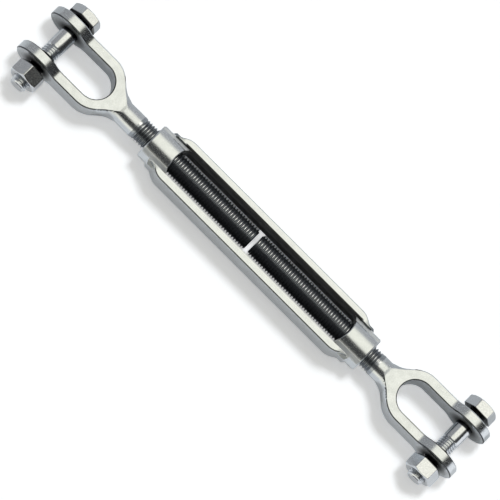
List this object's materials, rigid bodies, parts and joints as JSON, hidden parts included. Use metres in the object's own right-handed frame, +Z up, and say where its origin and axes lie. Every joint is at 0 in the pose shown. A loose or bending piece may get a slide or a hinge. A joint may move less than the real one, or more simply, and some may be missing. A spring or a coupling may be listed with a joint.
{
  "type": "jaw and jaw turnbuckle",
  "caption": "Open-frame turnbuckle that draws two forked, bolted jaws together on opposite-handed threads.",
  "frame": {"origin": "middle of the turnbuckle's frame, on the thread axis, in the middle of its window", "axes": "+X along the threads towards the right jaw, +Y along both bolts towards their heads, +Z up through the window"},
  "size_m": [0.374, 0.0663, 0.0302],
  "materials": {
    "galvanised_forging": "hot-dip galvanised drop forging, satin and faintly grained",
    "zinc_fastener": "galvanised bolt and nut, satin"
  },
  "bodies": {
    "frame": {"frame": "galvanised_forging"},
    "jaw_left": {"jaw_left": "galvanised_forging"},
    "bolt_left": {"bolt_left": "zinc_fastener", "nut_left": "zinc_fastener"},
    "jaw_right": {"jaw_right": "galvanised_forging"},
    "bolt_right": {"bolt_right": "zinc_fastener", "nut_right": "zinc_fastener"}
  },
  "joints": [
    {"name": "left_jaw_screw", "type": "slide", "parent": "frame", "child": "jaw_left", "axis": [-1, 0, 0], "range_m": [-0.0012, 0.068]},
    {"name": "right_jaw_screw", "type": "slide", "parent": "frame", "child": "jaw_right", "axis": [1, 0, 0], "range_m": [-0.0012, 0.068]},
    {"name": "left_bolt_spin", "type": "hinge", "parent": "jaw_left", "child": "bolt_left", "pos_m": [-0.1748, 0, 0], "axis": [0, 1, 0], "continuous": true},
    {"name": "right_bolt_spin", "type": "hinge", "parent": "jaw_right", "child": "bolt_right", "pos_m": [0.1666, 0, 0], "axis": [0, 1, 0], "continuous": true}
  ],
  "couplings": [
    {"joint": "right_jaw_screw", "follows": "left_jaw_screw", "ratio": 1}
  ]
}
